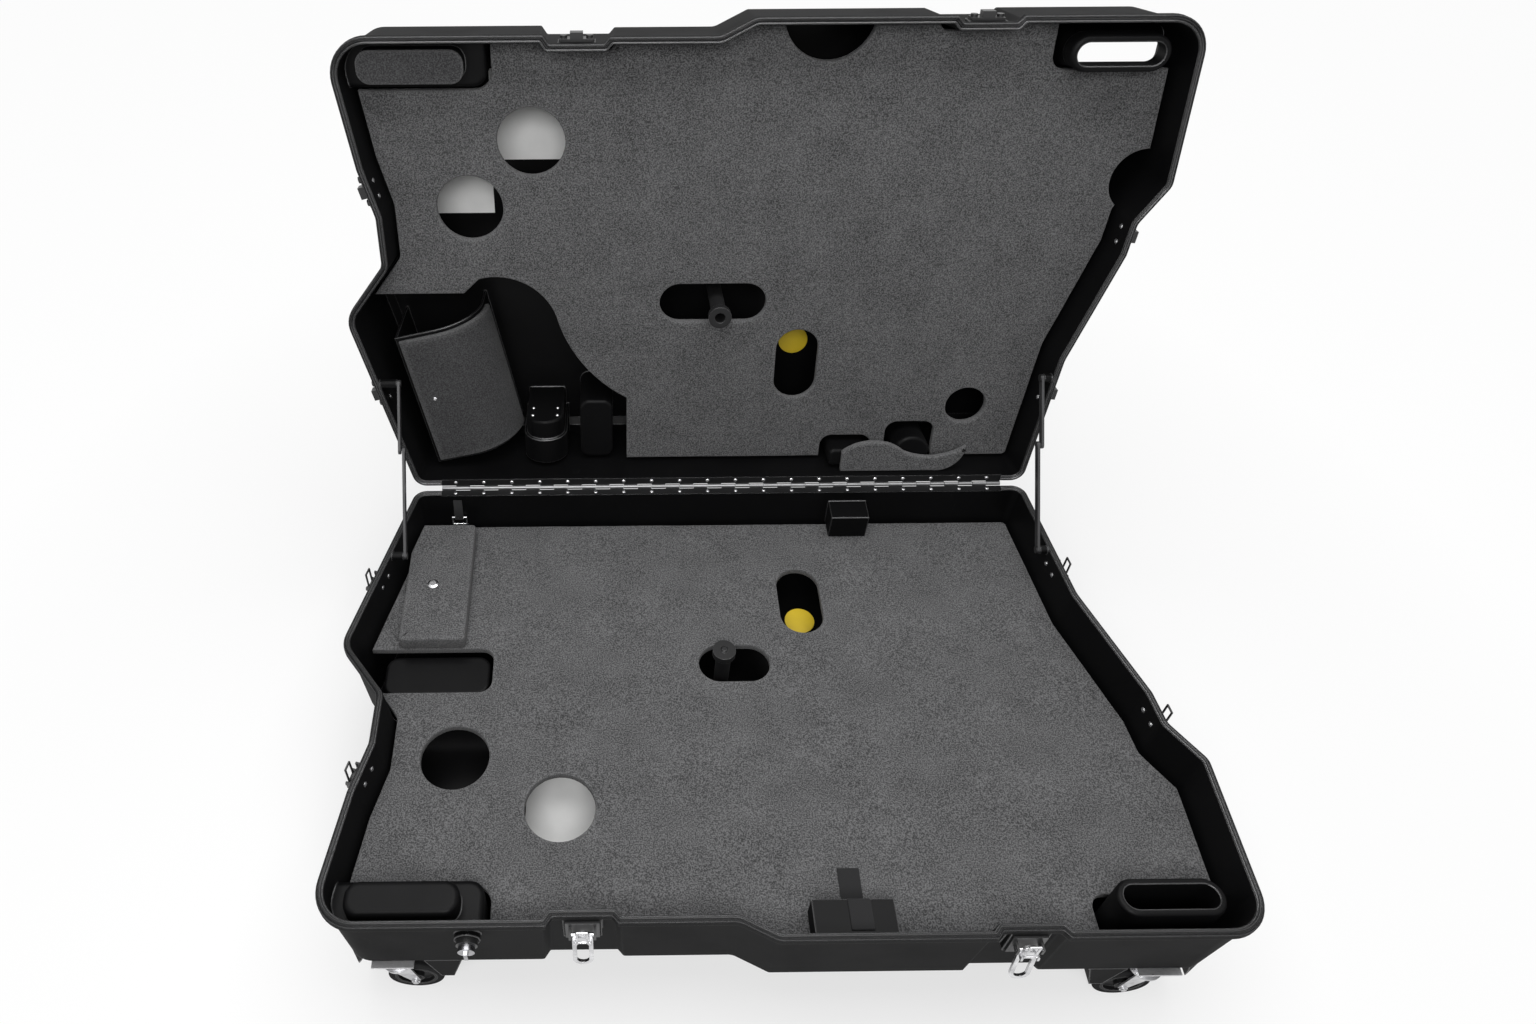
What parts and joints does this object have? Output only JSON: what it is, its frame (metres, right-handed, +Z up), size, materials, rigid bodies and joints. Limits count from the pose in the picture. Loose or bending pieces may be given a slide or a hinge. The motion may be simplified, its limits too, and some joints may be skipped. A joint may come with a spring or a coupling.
{
  "type": "hard-shell bicycle travel case",
  "caption": "Hard-shell clamshell bicycle travel case on swivel casters, foam lined, with piano-hinged lid, draw latches and folding lid stays, lying open.",
  "frame": {"origin": "middle of the underside of the open case, on the floor that the casters stand on", "axes": "+X along the lid hinge to the right, +Y from the front wall to the hinge, +Z up"},
  "size_m": [1.2418, 1.118, 1.0241],
  "materials": {
    "shell": "satin black moulded plastic with a fine grain",
    "foam": "charcoal closed-cell foam with a fine speckle",
    "hinge_steel": "dark painted steel",
    "bright_steel": "bright plated steel",
    "zinc": "zinc-plated pressed steel",
    "wheel_core": "black plastic",
    "tyre_rubber": "black rubber",
    "black_metal": "black coated steel",
    "knob_chrome": "dark chrome",
    "post_plastic": "black plastic",
    "disc_yellow": "plain yellow plastic",
    "card_white": "plain white card",
    "webbing": "black woven webbing"
  },
  "bodies": {
    "base": {"base_shell": "shell", "grip_boss": "shell", "base_foam": "foam", "rear_pad": "foam", "hinge_leaf_base": "hinge_steel", "hinge_pin": "hinge_steel", "caster_plates": "zinc", "latch_plates": "black_metal", "rivets_base": "bright_steel", "lock_body": "black_metal", "stay_pins_base": "black_metal", "base_posts": "post_plastic", "base_disc": "disc_yellow", "base_card": "card_white", "front_strap": "webbing", "rear_tab": "webbing", "rear_ring": "bright_steel"},
    "lid": {"lid_shell": "shell", "lid_foam": "foam", "lid_flap": "foam", "lid_curved_pad": "foam", "lid_tower_pad": "foam", "hinge_leaf_lid": "hinge_steel", "rivets_lid": "bright_steel", "latch_keepers": "black_metal", "stay_pins_lid": "black_metal", "lid_posts": "post_plastic", "lid_disc": "disc_yellow", "lid_cards": "card_white"},
    "lock_knob": {"lock_knob": "knob_chrome"},
    "caster_fl": {"caster_fl_fork": "zinc"},
    "wheel_fl": {"caster_fl_wheel": "wheel_core", "caster_fl_tyre": "tyre_rubber"},
    "caster_fr": {"caster_fr_fork": "zinc"},
    "wheel_fr": {"caster_fr_wheel": "wheel_core", "caster_fr_tyre": "tyre_rubber"},
    "caster_rl": {"caster_rl_fork": "zinc"},
    "wheel_rl": {"caster_rl_wheel": "wheel_core", "caster_rl_tyre": "tyre_rubber"},
    "caster_rr": {"caster_rr_fork": "zinc"},
    "wheel_rr": {"caster_rr_wheel": "wheel_core", "caster_rr_tyre": "tyre_rubber"},
    "lever_front_left": {"latch_front_left_lever": "bright_steel"},
    "bail_front_left": {"latch_front_left_bail": "bright_steel"},
    "lever_front_right": {"latch_front_right_lever": "bright_steel"},
    "bail_front_right": {"latch_front_right_bail": "bright_steel"},
    "lever_left_front": {"latch_left_front_lever": "black_metal"},
    "bail_left_front": {"latch_left_front_bail": "black_metal"},
    "lever_left_rear": {"latch_left_rear_lever": "black_metal"},
    "bail_left_rear": {"latch_left_rear_bail": "black_metal"},
    "lever_right_front": {"latch_right_front_lever": "black_metal"},
    "bail_right_front": {"latch_right_front_bail": "black_metal"},
    "lever_right_rear": {"latch_right_rear_lever": "black_metal"},
    "bail_right_rear": {"latch_right_rear_bail": "black_metal"},
    "stay_left_lower": {"stay_left_lower": "black_metal"},
    "stay_left_upper": {"stay_left_upper": "black_metal"},
    "stay_right_lower": {"stay_right_lower": "black_metal"},
    "stay_right_upper": {"stay_right_upper": "black_metal"}
  },
  "joints": [
    {"name": "lid_hinge", "type": "hinge", "parent": "base", "child": "lid", "pos_m": [-0.00492, 0.21599, 0.285], "axis": [1, 0, 0], "range_deg": [0, 104]},
    {"name": "caster_fl_swivel", "type": "hinge", "parent": "base", "child": "caster_fl", "pos_m": [-0.51492, -0.48901, 0.091], "axis": [0, 0, 1], "continuous": true},
    {"name": "wheel_fl_spin", "type": "hinge", "parent": "caster_fl", "child": "wheel_fl", "pos_m": [-0.49492, -0.48901, 0.04], "axis": [0, 1, 0], "continuous": true},
    {"name": "caster_fr_swivel", "type": "hinge", "parent": "base", "child": "caster_fr", "pos_m": [0.52708, -0.51, 0.091], "axis": [0, 0, 1], "continuous": true},
    {"name": "wheel_fr_spin", "type": "hinge", "parent": "caster_fr", "child": "wheel_fr", "pos_m": [0.50708, -0.51, 0.04], "axis": [0, 1, 0], "continuous": true},
    {"name": "caster_rl_swivel", "type": "hinge", "parent": "base", "child": "caster_rl", "pos_m": [-0.46692, 0.15799, 0.091], "axis": [0, 0, 1], "continuous": true},
    {"name": "wheel_rl_spin", "type": "hinge", "parent": "caster_rl", "child": "wheel_rl", "pos_m": [-0.44692, 0.15799, 0.04], "axis": [0, 1, 0], "continuous": true},
    {"name": "caster_rr_swivel", "type": "hinge", "parent": "base", "child": "caster_rr", "pos_m": [0.41108, 0.15799, 0.091], "axis": [0, 0, 1], "continuous": true},
    {"name": "wheel_rr_spin", "type": "hinge", "parent": "caster_rr", "child": "wheel_rr", "pos_m": [0.39108, 0.15799, 0.04], "axis": [0, 1, 0], "continuous": true},
    {"name": "lever_front_left_turn", "type": "hinge", "parent": "base", "child": "lever_front_left", "pos_m": [-0.25292, -0.523, 0.252], "axis": [-1, 0, 0], "range_deg": [0, 110]},
    {"name": "bail_front_left_turn", "type": "hinge", "parent": "lever_front_left", "child": "bail_front_left", "pos_m": [-0.25292, -0.5302, 0.24392], "axis": [1, 0, 0], "range_deg": [0, 110]},
    {"name": "lever_front_right_turn", "type": "hinge", "parent": "base", "child": "lever_front_right", "pos_m": [0.31208, -0.547, 0.252], "axis": [-1, 0, 0], "range_deg": [0, 110]},
    {"name": "bail_front_right_turn", "type": "hinge", "parent": "lever_front_right", "child": "bail_front_right", "pos_m": [0.31208, -0.5542, 0.24392], "axis": [1, 0, 0], "range_deg": [0, 110]},
    {"name": "lever_left_front_turn", "type": "hinge", "parent": "base", "child": "lever_left_front", "pos_m": [-0.5771, -0.29999, 0.252], "axis": [0.2519, 0.9678, 0], "range_deg": [0, 110]},
    {"name": "bail_left_front_turn", "type": "hinge", "parent": "lever_left_front", "child": "bail_left_front", "pos_m": [-0.58406, -0.29817, 0.24392], "axis": [-0.2519, -0.9678, 0], "range_deg": [0, 110]},
    {"name": "lever_left_rear_turn", "type": "hinge", "parent": "base", "child": "lever_left_rear", "pos_m": [-0.59861, 0.04176, 0.252], "axis": [0.2469, 0.969, 0], "range_deg": [0, 110]},
    {"name": "bail_left_rear_turn", "type": "hinge", "parent": "lever_left_rear", "child": "bail_left_rear", "pos_m": [-0.60558, 0.04354, 0.24392], "axis": [-0.2469, -0.969, 0], "range_deg": [0, 110]},
    {"name": "lever_right_front_turn", "type": "hinge", "parent": "base", "child": "lever_right_front", "pos_m": [0.59153, -0.22201, 0.252], "axis": [0.0995, -0.995, 0], "range_deg": [0, 110]},
    {"name": "bail_right_front_turn", "type": "hinge", "parent": "lever_right_front", "child": "bail_right_front", "pos_m": [0.59869, -0.22129, 0.24392], "axis": [-0.0995, 0.995, 0], "range_deg": [0, 110]},
    {"name": "lever_right_rear_turn", "type": "hinge", "parent": "base", "child": "lever_right_rear", "pos_m": [0.52552, 0.05137, 0.252], "axis": [0.1076, -0.9942, 0], "range_deg": [0, 110]},
    {"name": "bail_right_rear_turn", "type": "hinge", "parent": "lever_right_rear", "child": "bail_right_rear", "pos_m": [0.53268, 0.05215, 0.24392], "axis": [-0.1076, 0.9942, 0], "range_deg": [0, 110]},
    {"name": "lock_turn", "type": "hinge", "parent": "base", "child": "lock_knob", "pos_m": [-0.40092, -0.5323, 0.241], "axis": [0, -1, 0], "range_deg": [0, 90]},
    {"name": "stay_left_lower_turn", "type": "hinge", "parent": "base", "child": "stay_left_lower", "pos_m": [-0.55042, 0.076, 0.276], "axis": [1, 0, 0], "range_deg": [0, 117.77]},
    {"name": "stay_left_upper_turn", "type": "hinge", "parent": "lid", "child": "stay_left_upper", "pos_m": [-0.55692, 0.27311, 0.47688], "axis": [1, 0, 0], "range_deg": [-166.25, 0]},
    {"name": "stay_right_lower_turn", "type": "hinge", "parent": "base", "child": "stay_right_lower", "pos_m": [0.49008, 0.076, 0.276], "axis": [1, 0, 0], "range_deg": [0, 117.77]},
    {"name": "stay_right_upper_turn", "type": "hinge", "parent": "lid", "child": "stay_right_upper", "pos_m": [0.49658, 0.27311, 0.47688], "axis": [1, 0, 0], "range_deg": [-166.25, 0]}
  ],
  "couplings": [
    {"joint": "bail_front_left_turn", "follows": "lever_front_left_turn", "ratio": 1},
    {"joint": "bail_front_right_turn", "follows": "lever_front_right_turn", "ratio": 1},
    {"joint": "bail_left_front_turn", "follows": "lever_left_front_turn", "ratio": 1},
    {"joint": "bail_left_rear_turn", "follows": "lever_left_rear_turn", "ratio": 1},
    {"joint": "bail_right_front_turn", "follows": "lever_right_front_turn", "ratio": 1},
    {"joint": "bail_right_rear_turn", "follows": "lever_right_rear_turn", "ratio": 1},
    {"joint": "stay_left_lower_turn", "follows": "lid_hinge", "ratio": 1.1323},
    {"joint": "stay_left_upper_turn", "follows": "lid_hinge", "ratio": -1.5985},
    {"joint": "stay_right_lower_turn", "follows": "lid_hinge", "ratio": 1.1323},
    {"joint": "stay_right_upper_turn", "follows": "lid_hinge", "ratio": -1.5985}
  ]
}
